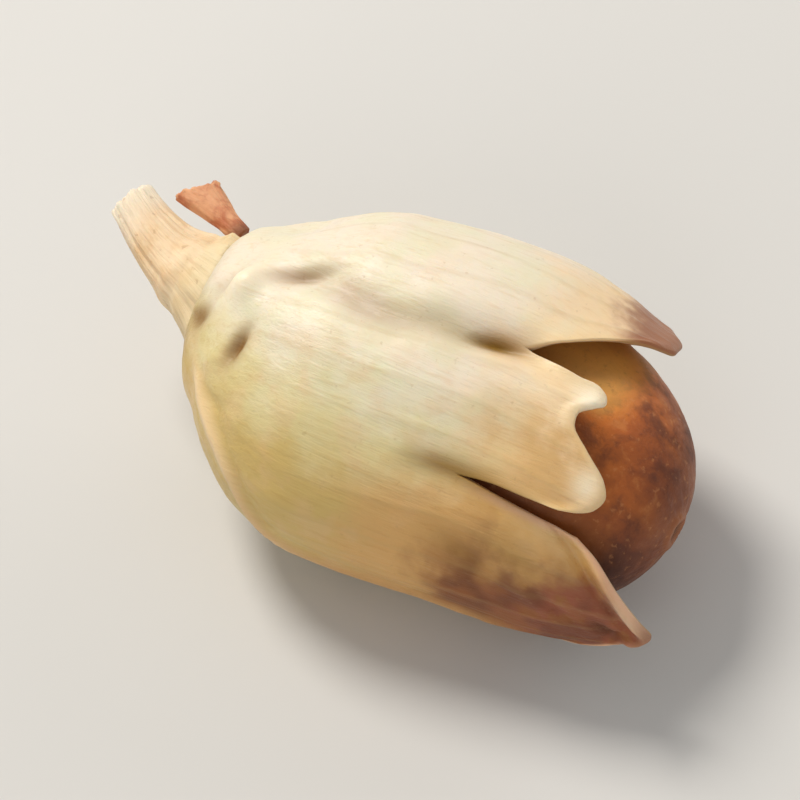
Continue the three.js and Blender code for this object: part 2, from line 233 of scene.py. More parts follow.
# The spikelet's base in the row frame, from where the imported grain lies.
_t, _f = np.meshgrid(np.linspace(0, math.pi, 19), np.linspace(0, 2 * math.pi, 27), indexing="ij")
_sphere = np.stack([np.cos(_t), np.cos(_f) * np.sin(_t), np.sin(_f) * np.sin(_t)], -1).reshape(-1, 3)
_own = grain_place(grain_shape(_sphere)) @ TURN.T
_lo, _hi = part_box("grain")
BASE = (np.array(_lo) + np.array(_hi)) / 2 * 1000 - (_own.min(0) + _own.max(0)) / 2


def laid(p):
    return (p.reshape(-1, 3) @ TURN.T + BASE) / 1000


# ---------------------------------------------------------------- meshes


def make(name, points, faces, data, material, node, smooth_faces=True):
    """points in mm in the spikelet's frame; data: name -> one number or three per point."""
    points = points.reshape(-1, 3)
    key, first, back = np.unique(np.round(points, 5), axis=0, return_index=True, return_inverse=True)
    back = back.reshape(-1)
    faces = back[np.asarray(faces)]
    ok = np.array([len(set(f)) for f in faces.tolist()]) >= 3
    polys = []
    for f in faces[ok].tolist():
        g = [v for i, v in enumerate(f) if v != f[i - 1]]
        polys.append(g)
    me = bpy.data.meshes.new(name)
    me.from_pydata(laid(points[first]).tolist(), [], polys)
    me.update()
    for key_name, values in {"loc": points, **data}.items():
        values = np.asarray(values, float)
        if values.size == 3 * len(points):
            at = me.attributes.new(key_name, "FLOAT_VECTOR", "POINT")
            at.data.foreach_set("vector", values.reshape(-1, 3)[first].astype(np.float32).ravel())
        else:
            at = me.attributes.new(key_name, "FLOAT", "POINT")
            at.data.foreach_set("value", values.reshape(-1)[first].astype(np.float32))
    me.polygons.foreach_set("use_smooth", [smooth_faces] * len(me.polygons))
    me.materials.append(material)
    ob = bpy.data.objects.new(name, me)
    bpy.context.scene.collection.objects.link(ob)
    # faces outward
    v = np.empty(len(me.vertices) * 3)
    me.vertices.foreach_get("co", v)
    v = v.reshape(-1, 3) - v.reshape(-1, 3).mean(0)
    me.calc_loop_triangles()
    tri = np.empty(len(me.loop_triangles) * 3, np.int32)
    me.loop_triangles.foreach_get("vertices", tri)
    tri = tri.reshape(-1, 3)
    if np.einsum("ij,ij->i", v[tri[:, 0]], np.cross(v[tri[:, 1]], v[tri[:, 2]])).sum() < 0:
        me.flip_normals()
    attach(ob, "root")
    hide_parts(node)
    return ob


def quads(a, b, c, d):
    return np.stack([a, b, c, d], -1).reshape(-1, 4)


def shell_faces(nt, nw, offset, left_rows, right_rows):
    """Quads of a laid box: outer sheet, inner sheet, and its walls. left_rows and right_rows say which rows have a wall."""
    o = np.arange(nt * nw).reshape(nt, nw) + offset
    i = o + nt * nw
    f = [quads(o[:-1, :-1], o[:-1, 1:], o[1:, 1:], o[1:, :-1]), quads(i[:-1, :-1], i[1:, :-1], i[1:, 1:], i[:-1, 1:]),
         quads(o[0, :-1], i[0, :-1], i[0, 1:], o[0, 1:]), quads(o[-1, :-1], o[-1, 1:], i[-1, 1:], i[-1, :-1])]
    l, r = left_rows, right_rows
    f.append(quads(o[:-1, 0][l], o[1:, 0][l], i[1:, 0][l], i[:-1, 0][l]))
    f.append(quads(o[:-1, -1][r], i[:-1, -1][r], i[1:, -1][r], o[1:, -1][r]))
    return np.concatenate(f)


def arc_lengths(p):
    """Distance in mm from the left side, the right side, the base and the tip along the grid."""
    across = np.linalg.norm(np.diff(p, axis=1), axis=-1)
    left = np.concatenate([np.zeros((p.shape[0], 1)), np.cumsum(across, 1)], 1)
    right = left[:, -1:] - left
    along = np.linalg.norm(np.diff(p, axis=0), axis=-1)
    base = np.concatenate([np.zeros((1, p.shape[1])), np.cumsum(along, 0)], 0)
    tip = base[-1:] - base
    return left, right, base, tip


def rounded(d, radius):
    """how far a face falls back by the distance d from an edge of that radius"""
    k = 1 - np.clip(d / radius, 0, 1)
    return radius * (1 - np.sqrt(np.maximum(0, 1 - k * k)))


def crowded(n, ends=0.9):
    u = np.linspace(0, 1, n)
    return u - ends / (2 * math.pi) * np.sin(2 * math.pi * u)


# ---------------------------------------------------------------- lower glume

LOBES = [
    dict(left=track(LEFT_MARGIN), right=lip(LOWER_SEAM, FLAP_SLIT_SIDE), tip=track(FLAP_TIP), cols=100, free=(True, False),
         veins=[0.14, 0.3, 0.47, 0.63, 0.81]),
    dict(left=lip(LOWER_SEAM, MIDDLE_LOWER_SIDE), right=lip(UPPER_SEAM, MIDDLE_UPPER_SIDE), tip=track(MIDDLE_TIP), cols=64,
         free=(False, False), veins=[0.22, 0.5, 0.79]),
    dict(left=lip(UPPER_SEAM, TOP_SLIT_SIDE), right=track(RIGHT_MARGIN), tip=track(TOP_TIP), cols=96, free=(False, True),
         veins=[0.16, 0.33, 0.51, 0.68, 0.85]),
]

# shallow features of the outer face: x, angle, half length, half width (mm), turn from the x axis (degrees), height
FEATURES = [
    (0.46, 8, 0.2, 0.13, 59, 0.16),         # collar swelling at the base
    (0.55, 62, 0.34, 0.36, 0, -0.13),       # hollow shoulder beside the callus
    (0.2, 2, 0.26, 0.06, 62, -0.04),        # groove between it and the callus
    (0.62, -18.5, 0.2, 0.05, 76, -0.085),   # crease below it
    (0.12, -23, 0.17, 0.045, 72, -0.06),
    (0.40, -33, 0.22, 0.08, 50, 0.02),
    (0.95, 19, 0.36, 0.07, 20, -0.045),     # start of the valley
    (0.62, -46, 0.3, 0.07, 35, -0.02),
    (1.1, -4, 0.5, 0.16, -20, 0.02),        # main ridge away from the collar
    (2.93, 14.9, 0.31, 0.07, 9, -0.09),     # deep end of the valley
    (2.95, 8.5, 0.34, 0.06, 9, 0.02),       # its raised lower lip
    (1.44, -26, 0.22, 0.2, 0, 0.016),
    (2.35, -17, 0.2, 0.3, 30, -0.012),
    (1.7, -62, 0.5, 0.2, 10, 0.02),
    (3.3, -54, 0.35, 0.16, -15, -0.045),
    (3.95, -60, 0.3, 0.1, -30, 0.035),
    (4.25, -64, 0.32, 0.06, -35, -0.045),
    (4.82, -74, 0.2, 0.055, -37, -0.065),   # hollow of the flap's point
    (4.93, -57, 0.26, 0.05, -37, 0.03),
    (3.45, -12, 0.35, 0.14, 0, -0.02),
    (3.9, 10.5, 0.17, 0.1, 0, 0.045),       # the two teeth are swollen at their ends
    (4.2, -14.5, 0.17, 0.13, 0, 0.035),
]
VALLEY = pchip([0.3, 0.66, 0.83, 0.99, 1.33, 1.6, 2.0, 2.34, 2.65, 2.91, 3.27, 5], [9, 13.5, 17.5, 19, 17, 13.5, 12, 14, 13.5, 14.5, 16.5, 17])
VALLEY_DEPTH = pchip([0.4, 0.7, 1.0, 1.4, 2.2, 2.7, 3.17, 3.6, 5], [0, 0.04, 0.075, 0.088, 0.085, 0.085, 0.06, 0, 0])
RIDGE = pchip([0, 1.09, 1.64, 2.21, 2.85, 3.21, 5], [8, 4, -3, -6, -5, -1, 2])
RIM = pchip([0.0, 0.1, 0.34, 0.67, 0.94, 1.26, 1.63, 2.52, 3.48, 4.3, 5.5], [-40, -44, -51.5, -59, -66, -80, -91, -97, -98, -96, -96])


def lower_rise(k, t, w, x, deg):
    parted = smooth(SPLIT, 0.9, t)
    h = (-0.05 * bump(deg, 17, 5) * smooth(2.1, 2.8, x) * (1 - parted)
         - 0.03 * bump(deg, -29, 5) * smooth(2.4, 3, x) * (1 - parted))
    if k == 0:
        h = h + parted * (-0.05 * smooth(0.75, 1, w) + 0.02 * smooth(0.95, 1, t))
    if k == 1:
        h = h + parted * (0.045 + 0.03 * smooth(0.75, 1, np.abs(2 * w - 1)))
    if k == 2:
        h = h + parted * 0.04 * (1 - smooth(0, 0.4, w))
    return h


def lower_thickness(k, t, w):
    free_left, free_right = LOBES[k]["free"]
    d = [(1 - t) * 9]
    d.append(w * 4.5 if free_left else 1 - smooth(SPLIT, 0.8, t) * (1 - np.clip(w * 8, 0, 1)))
    d.append((1 - w) * 4.5 if free_right else 1 - smooth(SPLIT, 0.8, t) * (1 - np.clip((1 - w) * 8, 0, 1)))
    return EDGE_THICKNESS + (GLUME_THICKNESS - EDGE_THICKNESS) * np.clip(np.minimum.reduce(d), 0, 1)


def feature_relief(x, deg):
    h = np.zeros_like(x)
    for fx, fa, rl, rw, turn, height in FEATURES:
        r = math.sqrt(float(half_width(fx)) * float(dorsal(fx)))
        u, v = x - fx, np.radians(deg - fa) * r
        c, s = math.cos(math.radians(turn)), math.sin(math.radians(turn))
        h += height * np.exp(-(((c * u + s * v) / rl) ** 2) - (((-s * u + c * v) / rw) ** 2))
    return h


def lower_soft(k, t, w, x, deg, p):
    """slow relief, shared by the outer and inner face"""
    joined = 1 - smooth(SPLIT, 0.85, t)
    h = feature_relief(x, deg)
    h = h - VALLEY_DEPTH(x) * bump(deg, VALLEY(x), 6.2) * joined
    h = h + 0.03 * bump(deg, RIDGE(x), 10) * smooth(0.3, 1.0, x) * (1 - smooth(2.8, 3.6, x))
    h = h + 0.055 * bump(deg, 40, 15) * smooth(0.7, 1.6, x) * (1 - smooth(2.9, 3.7, x))
    h = h + 0.012 * fbm(p * 1.15, 2, 3.0)
    return h


def lower_fine(k, t, w, x, deg, p, tip, vein):
    """fine relief of the outer face"""
    rim = bump(deg, RIM(x), 3.4 + 2.2 * (1 - smooth(0.3, 1.2, x)))
    h = 0.042 * rim * smooth(0.12, 0.45, x) * (1 - smooth(3.6, 4.4, x))
    h = h - 0.022 * bump(deg, RIM(x) + 8, 4.5) * smooth(0.2, 0.6, x) * (1 - smooth(3.4, 4.2, x))
    h = h + vein * (0.004 + 0.007 * smooth(1.2, 3.4, x))
    h = h + 0.0035 * noise3(p * np.array([1.2, 9.0, 9.0]), 11)                       # lengthwise fibres
    h = h + 0.0022 * noise3(p * np.array([3.0, 21.0, 21.0]), 12)
    h = h + 0.006 * noise3(p * np.array([8.0, 1.6, 1.6]), 13) * (1 - smooth(0.4, 1.3, x))   # folds across the base
    h = h + 0.0035 * fbm(p * 5.5, 2, 14)
    if k == 0:
        end = smooth(-86, -74, deg) * (1 - 0.6 * smooth(-42, -31, deg))
        h = h + (0.085 * bump(tip, 0.075, 0.08) - 0.045 * bump(tip, 0.25, 0.07)) * end
        h = h + 0.012 * fbm(p * 3.2, 2, 21) * smooth(3.0, 3.8, x)                    # the dry flap is uneven
    if k == 1:
        h = h + 0.03 * bump(tip, 0.07, 0.09) * smooth(0.8, 0.95, t)
    if k == 2:
        h = h + 0.02 * bump(tip, 0.1, 0.1) * smooth(0.8, 0.95, t) + 0.012 * fbm(p * 3.0, 2, 22) * smooth(3.3, 4.0, x)
    return h


def lower_glume(material):
    t1 = np.concatenate([[0.0, 0.0012, 0.003, 0.0055], np.linspace(0.009, SPLIT, 104)])
    t2 = SPLIT + (1 - SPLIT) * np.concatenate([np.linspace(0, 0.95, 50)[1:], 1 - 0.05 * (1 - np.linspace(0, 1, 12)[1:]) ** 2])
    rows = np.concatenate([t1, t2])
    pts, faces, data, offset = [], [], {k: [] for k in ("edge", "vein", "inner", "along", "lobe", "rim", "around")}, 0
    for k, lobe in enumerate(LOBES):
        t, w = np.meshgrid(rows, crowded(lobe["cols"]), indexing="ij")
        x, deg = place(lobe["left"], lobe["right"], lobe["tip"], t, w)
        plain = body_point(x, deg)
        left, right, base, tip = arc_lengths(plain)
        split_row = int(np.argmin(np.abs(rows - SPLIT)))
        reach = [tip]
        for side, seam, free in ((left, 0, lobe["free"][0]), (right, -1, lobe["free"][1])):
            if free:
                reach.append(side)
            else:
                before = np.maximum(0, base[split_row, seam] - base[:, seam])[:, None]
                reach.append(np.hypot(side, before))
        edge = np.minimum.reduce(reach)
        # veins keep their share of each lobe's width
        vein = np.zeros_like(x)
        for j, v in enumerate(lobe["veins"]):
            wander = 0.012 * np.sin(2.3 * x + 1.7 * j + k) + 0.006 * np.sin(5.1 * x + j)
            width = np.maximum(left[:, -1:], 0.2)
            vein = np.maximum(vein, np.exp(-(((w - v - wander) * width / 0.036) ** 2)))
        vein = vein * smooth(0.25, 0.9, x) * smooth(0.0, 0.12, np.minimum.reduce([tip] + ([left] if lobe["free"][0] else []) + ([right] if lobe["free"][1] else [])))
        vein = vein * smooth(0.0, 0.1, np.minimum(w, 1 - w) * 3)
        soft = lower_rise(k, t, w, x, deg) + lower_soft(k, t, w, x, deg, plain)
        fine = lower_fine(k, t, w, x, deg, plain, tip, vein)
        thick = lower_thickness(k, t, w)
        r = 0.0235
        outer_h = soft + fine - rounded(edge, r) - rounded(base, 0.01)
        # dents show less on the inner face, which clears the grain
        inner_h = np.where(soft > -0.09, soft, -0.09 - 0.05 * np.tanh((-0.09 - soft) / 0.05)) + 0.35 * fine * np.exp(-edge / 0.2) - thick + rounded(edge, r)
        inner_h = np.minimum(inner_h, outer_h - 0.006 - 0.024 * smooth(0, 0.06, edge))
        back_by = (0.046 + 0.022 * smooth(8, -30, deg)) * (1 - smooth(0, 0.05, t))      # the base closes on the callus
        outer, inner = over(x, deg, outer_h), over(x, deg, inner_h)
        outer[..., 0] -= back_by
        inner[..., 0] -= back_by
        pts += [outer.reshape(-1, 3), inner.reshape(-1, 3)]
        nt, nw = t.shape
        lines = np.arange(nt - 1)
        open_rows = lines >= split_row
        faces.append(shell_faces(nt, nw, offset, lines[open_rows | lobe["free"][0]], lines[open_rows | lobe["free"][1]]))
        offset += 2 * nt * nw
        rim = bump(deg, RIM(x), 4.5 + 2.5 * (1 - smooth(0.3, 1.2, x))) * smooth(0.1, 0.35, x) * (1 - smooth(3.3, 4.3, x))
        for name, value in (("edge", np.minimum(edge, 1)), ("vein", vein), ("along", x), ("lobe", np.full_like(x, k)), ("rim", rim), ("around", deg)):
            data[name] += [value.ravel(), value.ravel()]
        data["inner"] += [np.zeros(x.size), np.ones(x.size)]
    return make("lower_glume_husk", np.concatenate(pts), np.concatenate(faces), {k: np.concatenate(v) for k, v in data.items()},
                material, "lower_glume")


# ---------------------------------------------------------------- upper glume

keel_height = track(KEEL)


def upper_glume(material):
    rows = np.concatenate([[0.0, 0.002, 0.005], np.linspace(0.01, 0.95, 118), 1 - 0.05 * (1 - np.linspace(0, 1, 14)[1:]) ** 2])
    v = crowded(170)
    t, v = np.meshgrid(rows, v, indexing="ij")
    w = 0.5 + 0.5 * np.sign(v - 0.5) * np.abs(2 * v - 1) ** 1.2
    x, deg = place(track(UPPER_LEFT), track(UPPER_RIGHT), track(UPPER_TIP), t, w)
    plain = body_point(x, deg)
    left, right, base, tip = arc_lengths(plain)
    edge = np.minimum.reduce([left, right, base, tip])
    off = np.abs(deg - 180)
    tuck = TUCK * smooth(46, 66, off) + GAP * (1 - smooth(0, 0.5, x))
    keel = keel_height(x)[0] * bump(deg, 180, KEEL_HALF_DEG)
    flat = np.clip(np.minimum.reduce([w * 7, (1 - w) * 7, (1 - t) * 9]), 0, 1)
    thick = EDGE_THICKNESS + (GLUME_THICKNESS - EDGE_THICKNESS) * flat
    vein = np.zeros_like(x)
    for j, at in enumerate([0.16, 0.26, 0.36, 0.43, 0.57, 0.64, 0.74, 0.84]):
        wander = 0.008 * np.sin(2.1 * x + 1.9 * j)
        width = np.maximum(left[:, -1:], 0.2)
        vein = np.maximum(vein, np.exp(-(((w - at - wander) * width / 0.036) ** 2)))
    vein *= smooth(0.2, 0.9, x) * smooth(0, 0.12, np.minimum(np.minimum(left, right), tip)) * (1 - bump(deg, 180, 7))
    inside = 1 - smooth(40, 62, off)         # the covered margins stay plain
    fine = (vein * (0.003 + 0.006 * smooth(1, 3, x)) * (0.3 + 0.7 * inside)
            + (0.010 * fbm(plain * 1.2, 2, 31) + 0.004 * fbm(plain * 5.0, 2, 32)) * inside
            + 0.003 * noise3(plain * np.array([1.2, 9.0, 9.0]), 33) * (0.2 + 0.8 * inside)
            + 0.008 * noise3(plain * np.array([7.0, 2.0, 2.0]), 34) * bump(deg, 180, 6) * smooth(1.5, 3, x))
    r = 0.0235
    # relief only goes inwards where the spikelet rests
    outer = over(x, deg, keel - tuck + np.minimum(fine, 0.004) - rounded(edge, r))
    inner = over(x, deg, keel - tuck - thick + rounded(edge, r))
    back_by = 0.062 * (1 - smooth(0, 0.055, t))
    outer[..., 0] -= back_by
    inner[..., 0] -= back_by
    nt, nw = t.shape
    lines = np.arange(nt - 1)
    faces = shell_faces(nt, nw, 0, lines, lines)
    twice = lambda a: np.concatenate([a.ravel(), a.ravel()])
    return make("upper_glume_husk", np.concatenate([outer.reshape(-1, 3), inner.reshape(-1, 3)]), faces,
                {"edge": twice(np.minimum(edge, 1)), "vein": twice(vein), "along": twice(x), "around": twice(deg),
                 "keel": twice(bump(deg, 180, 9)), "inner": np.concatenate([np.zeros(x.size), np.ones(x.size)])},
                material, "upper_glume")


# ---------------------------------------------------------------- grain


def grain(material):
    nu, nv = 180, 220
    th = np.linspace(0, math.pi, nu)
    th = th - 0.28 * np.sin(2 * th) / 2           # more rows at both ends
    ph = np.linspace(0, 2 * math.pi, nv, endpoint=False)
    t, f = np.meshgrid(th, ph, indexing="ij")
    q = np.stack([np.cos(t), np.cos(f) * np.sin(t), np.sin(f) * np.sin(t)], -1)
    p = grain_shape(q)
    n = q / (np.array(GRAIN_HALF) ** 1)
    n = n / np.linalg.norm(n, axis=-1, keepdims=True)
    # distance from the style scar at the mouth end and from the hilum at the base
    scar_at = np.array([GRAIN_HALF[0], -0.02, 0.05])
    scar = np.linalg.norm(p - scar_at, axis=-1)
    hilum = np.linalg.norm(p - np.array([-GRAIN_HALF[0] * 0.97, 0, -0.2]), axis=-1)
    germ = np.where(q[..., 2] < 0, bump(q[..., 0], -0.35, 0.42) * bump(q[..., 1], 0, 0.3), 0.0)
    germ_rim = bump(np.sqrt(((q[..., 0] + 0.35) / 0.6) ** 2 + (q[..., 1] / 0.42) ** 2), 1.0, 0.16) * (q[..., 2] < 0)
    h = (0.016 * fbm(p * 1.5, 2, 41) + 0.007 * fbm(p * 4.2, 3, 42)
         - 0.010 * np.clip(fbm(p * 8.0, 2, 43) - 0.25, 0, 1)
         + 0.030 * bump(scar, 0.15, 0.05) - 0.045 * bump(scar, 0, 0.09) + 0.05 * bump(scar, 0, 0.03)
         + 0.006 * noise3(np.stack([np.cos(f) * 9, np.sin(f) * 9, p[..., 0] * 1.2], -1), 44) * bump(scar, 0.35, 0.3)
         - 0.05 * bump(hilum, 0, 0.16) + 0.018 * bump(hilum, 0.24, 0.08)
         + 0.012 * germ_rim)
    h = np.minimum(h, 0.02)
    p = p + n * h[..., None]
    pts = grain_place(p)
    pts[0], pts[-1] = pts[0].mean(0), pts[-1].mean(0)
    o = np.arange(nu * nv).reshape(nu, nv)
    r = np.roll(o, -1, axis=1)
    faces = quads(o[:-1], o[1:], r[1:], r[:-1])
    return make("grain_kernel", pts, faces, {"scar": scar, "hilum": hilum, "germ": germ, "own": p, "side": q}, material, "grain")


# ---------------------------------------------------------------- stalk piece and pedicel


def closed_tube(rings):
    """rings: points [row, around, 3]; the first and last row are single points"""
    nu, nv = rings.shape[:2]
    o = np.arange(nu * nv).reshape(nu, nv)
    r = np.roll(o, -1, axis=1)
    return quads(o[:-1], o[1:], r[1:], r[:-1])


def stalk(material):
    nv = 168
    along = track(STALK)
    u_side = np.concatenate([np.linspace(0, 0.02, 5), np.linspace(0.03, 0.74, 92), np.linspace(0.745, 0.798, 16), [0.7995, 0.8, 0.8005, 0.801],
                             np.linspace(0.81, 1, 12)])
    cap = np.linspace(0, 1, 16)[:-1]
    rows = [(0.0, c, True) for c in cap] + [(u, 1.0, False) for u in u_side] + [(1.0, c, False) for c in cap[::-1]]
    ang = np.linspace(0, 2 * math.pi, nv, endpoint=False)
    pts, along_u, cut, fibre = [], [], [], []
    for u, share, is_cut in rows:
        x, y, r0 = [float(v) for v in along(u)]
        xa, ya, _ = [float(v) for v in along(max(0, u - 0.02))]
        xb, yb, _ = [float(v) for v in along(min(1, u + 0.02))]
        ln = math.hypot(xb - xa, yb - ya)
        sq = float(smooth(0.5, 0.75, u))
        tx, ty = (xb - xa) / ln * (1 - sq) + sq, (yb - ya) / ln * (1 - sq)
        tl = math.hypot(tx, ty)
        tx, ty = tx / tl, ty / tl
        ribs = 1 + 0.05 * np.cos(3 * ang + 0.6) * (1 - float(smooth(0.6, 0.8, u)))
        ring = np.stack([np.cos(ang) * 3.2, np.sin(ang) * 3.2, np.full(nv, u * 2.2)], -1)
        f1 = noise3(ring * np.array([1.6, 1.6, 1.0]), 51)
        f2 = noise3(ring * np.array([4.2, 4.2, 1.6]), 52)
        f3 = noise3(ring * np.array([0.6, 0.6, 3.5]), 53)
        fade = 1 - float(smooth(0.78, 0.8, u))
        wave = (0.055 * f1 + 0.024 * f2 + 0.03 * f3) * (0.35 + 0.65 * fade)
        # bracts scars: a low collar, and folds on the callus
        wave = wave + 0.035 * bump(u, 0.55, 0.035) * (0.6 + 0.4 * np.cos(ang - 2.2)) - 0.03 * bump(u, 0.62, 0.03)
        wave = wave + 0.02 * np.cos(7 * ang + 9 * u) * float(smooth(0.6, 0.7, u)) * fade
        shoulder = 1 - 0.012 * float(smooth(0.79, 0.8, u)) if u <= 0.8 else 1.0
        r = r0 * ribs * (1 + wave * (1 if u < 0.8 else 0)) * shoulder * share
        # the upper corner of the callus stands proud
        if 0.6 < u <= 0.8:
            r = r * (1 + 0.07 * bump(u, 0.745, 0.03) * np.exp(-((np.angle(np.exp(1j * (ang - 0.35))) / 0.4) ** 2)))
        px = x - ty * r * np.cos(ang)
        py = y + tx * r * np.cos(ang)
        pz = r * (STALK_FLATTEN + 0.04 * (float(smooth(0.7, 0.79, u)) if u <= 0.8 else 0.0)) * np.sin(ang)
        p = np.stack([px, py, pz], -1)
        if u < 0.06:
            # torn end: fibres of uneven length, hollowed pith
            jag = 0.022 * noise3(ring * np.array([1.3, 1.3, 0.0]), 54) + 0.012 * noise3(ring * np.array([5.0, 5.0, 0.0]), 55) - 0.03 * np.cos(ang)
            pith = 0.04 * (1 - share ** 2) if is_cut else 0.0
            tuft = 0.02 * noise3(np.stack([np.cos(ang) * share * 7, np.sin(ang) * share * 7, np.full(nv, 3.0)], -1), 56) if is_cut else 0.0
            k = (1 - u / 0.06)
            shift = (jag * share + pith + tuft) * k
            p[:, 0] += tx * shift
            p[:, 1] += ty * shift
            if not is_cut:
                edge = rounded(np.array([u * 1.9]), 0.055)[0]
                p[:, 0] -= -ty * np.cos(ang) * edge
                p[:, 1] -= tx * np.cos(ang) * edge
                p[:, 2] -= np.sin(ang) * edge
        pts.append(p)
        along_u.append(np.full(nv, u))
        cut.append(np.full(nv, 1.0 - share if is_cut else 0.0) if is_cut else np.zeros(nv))
        fibre.append(ang)
    pts = np.array(pts)
    # cap rows shrink to meet the rounded rim
    n_cap = len(cap)
    rim_scale = 1 - 0.055 / 0.235
    centre = pts[0].mean(0)
    pts[:n_cap] = centre + (pts[:n_cap] - centre) * rim_scale
    pts[0], pts[-1] = pts[0].mean(0), pts[-1].mean(0)
    fib = np.array(fibre)
    return make("rachis_stalk", pts, closed_tube(pts),
                {"along": np.array(along_u), "cut": np.array(cut), "turn": np.stack([np.cos(fib), np.sin(fib), np.array(along_u)], -1)},
                material, "rachis_stub")


def pedicel(material):
    nv = 96
    root, end = np.array(PEDICEL_ROOT), np.array(PEDICEL_END)
    axis = (end - root) / np.linalg.norm(end - root)
    side = np.array([-axis[1], axis[0], 0])
    side /= np.linalg.norm(side)
    cap = np.linspace(0, 1, 12)[:-1]
    us = np.concatenate([np.linspace(0, 0.04, 4), np.linspace(0.06, 0.94, 46), np.linspace(0.955, 1, 5)])
    rows = [(0.0, c, 0) for c in cap] + [(u, 1.0, 1) for u in us] + [(1.0, c, 2) for c in cap[::-1]]
    ang = np.linspace(0, 2 * math.pi, nv, endpoint=False)
    pts, along_u, broken = [], [], []
    for u, share, kind in rows:
        half = PEDICEL_HALF[0] + (PEDICEL_HALF[1] - PEDICEL_HALF[0]) * u ** 1.4
        thick = PEDICEL_THICK[0] + (PEDICEL_THICK[1] - PEDICEL_THICK[0]) * u
        ring = np.stack([np.cos(ang) * 2.4, np.sin(ang) * 2.4, np.full(nv, u * 1.6)], -1)
        wave = 1 + 0.07 * noise3(ring * 1.5, 61) + 0.05 * noise3(ring * np.array([4.0, 4.0, 1.2]), 62)
        wave = wave - 0.10 * bump(u, 0.3, 0.12) * np.cos(ang) ** 2
        cx, cz = np.cos(ang) * share * wave, np.sin(ang) * share * wave
        if kind == 1:
            ends = rounded(np.array([min(u, 1 - u) * 0.8]), 0.03)[0]
            cx = cx * (1 - ends / half)
            cz = cz * (1 - ends / thick)
        else:
            cx = cx * (1 - 0.03 / half)
            cz = cz * (1 - 0.03 / thick)
        p = root + (end - root) * u + side * (cx * half)[:, None] + axis * (0.05 * cx * u)[:, None]
        p[:, 2] += cz * thick
        if u > 0.85:
            jag = (0.035 * noise3(ring * np.array([1.4, 1.4, 0.0]), 63) + 0.012 * noise3(ring * np.array([4.5, 4.5, 0.0]), 64) + 0.03 * np.cos(ang)) * share
            pith = 0.04 * (1 - share ** 2) if kind == 2 else 0.0
            p += axis * ((jag - pith) * (u - 0.85) / 0.15)[:, None]
        pts.append(p)
        along_u.append(np.full(nv, u))
        broken.append(np.full(nv, 1.0 - share if kind == 2 else 0.0))
    pts = np.array(pts)
    pts[0], pts[-1] = pts[0].mean(0), pts[-1].mean(0)
    return make("pedicel_scale", pts, closed_tube(pts), {"along": np.array(along_u), "cut": np.array(broken)},
                material, "pedicel_stub")


# ---------------------------------------------------------------- materials


def rgb(r, g, b):
    f = lambda c: c / 255 / 12.92 if c / 255 <= 0.04045 else ((c / 255 + 0.055) / 1.055) ** 2.4
    return (f(r), f(g), f(b), 1.0)


class Graph:
    def __init__(self, name):
        self.mat = bpy.data.materials.new(name)
        self.mat.use_nodes = True
        self.nt = self.mat.node_tree
        self.nt.nodes.clear()
        self.out = self.nt.nodes.new("ShaderNodeOutputMaterial")
        self.bsdf = self.nt.nodes.new("ShaderNodeBsdfPrincipled")
        self.nt.links.new(self.bsdf.outputs[0], self.out.inputs["Surface"])

    def put(self, socket, value):
        if isinstance(value, bpy.types.NodeSocket):
            self.nt.links.new(value, socket)
        else:
            socket.default_value = value

    def node(self, kind, inputs=None, **props):
        n = self.nt.nodes.new(kind)
        for k, v in props.items():
            setattr(n, k, v)
        for k, v in (inputs or {}).items():
            self.put(n.inputs[k], v)
        return n

    def attr(self, name, vector=False):
        n = self.node("ShaderNodeAttribute", attribute_name=name, attribute_type="GEOMETRY")
        return n.outputs["Vector" if vector else "Fac"]

    def math(self, op, a, b=0.0, clamp=False):
        n = self.node("ShaderNodeMath", operation=op, use_clamp=clamp)
        self.put(n.inputs[0], a)
        self.put(n.inputs[1], b)
        return n.outputs[0]

    def step(self, value, a, b, lo=0.0, hi=1.0):
        n = self.node("ShaderNodeMapRange", {"Value": value, "From Min": a, "From Max": b, "To Min": lo, "To Max": hi},
                      interpolation_type="SMOOTHSTEP", clamp=True)
        return n.outputs[0]

    def scaled(self, vector, scale):
        n = self.node("ShaderNodeVectorMath", operation="MULTIPLY")
        self.put(n.inputs[0], vector)
        n.inputs[1].default_value = scale
        return n.outputs[0]

    def noise(self, vector, scale, detail=3.0, rough=0.5, stretch=(1, 1, 1), warp=0.0):
        v = self.scaled(vector, stretch) if stretch != (1, 1, 1) else vector
        n = self.node("ShaderNodeTexNoise", {"Vector": v, "Scale": scale, "Detail": detail, "Roughness": rough, "Distortion": warp})
        return n.outputs[0]

    def mix(self, fac, a, b, blend="MIX"):
        n = self.nt.nodes.new("ShaderNodeMix")
        n.data_type = "RGBA"
        n.blend_type = blend
        n.clamp_factor = True
        self.put(n.inputs[0], fac)
        self.put(n.inputs[6], a)
        self.put(n.inputs[7], b)
        return n.outputs[2]

    def bump(self, height, distance, strength=1.0, normal=None):
        n = self.node("ShaderNodeBump", {"Height": height, "Strength": strength, "Distance": distance})
        if normal is not None:
            self.put(n.inputs["Normal"], normal)
        return n.outputs[0]

    def finish(self, color, roughness, normal, **fixed):
        self.put(self.bsdf.inputs["Base Color"], color)
        self.put(self.bsdf.inputs["Roughness"], roughness)
        self.put(self.bsdf.inputs["Normal"], normal)
        for k, v in fixed.items():
            self.bsdf.inputs[k.replace("_", " ")].default_value = v
        return self.mat


IVORY, GREENISH, STRAW, KHAKI = rgb(240, 224, 201), rgb(226, 222, 182), rgb(222, 205, 150), rgb(208, 178, 106)
PEACH, TAN, BROWN, DARK = rgb(250, 211, 160), rgb(214, 170, 106), rgb(144, 80, 32), rgb(84, 42, 20)
PINK, OLIVE, RIM_CREAM = rgb(156, 84, 58), rgb(142, 102, 6), rgb(240, 208, 160)


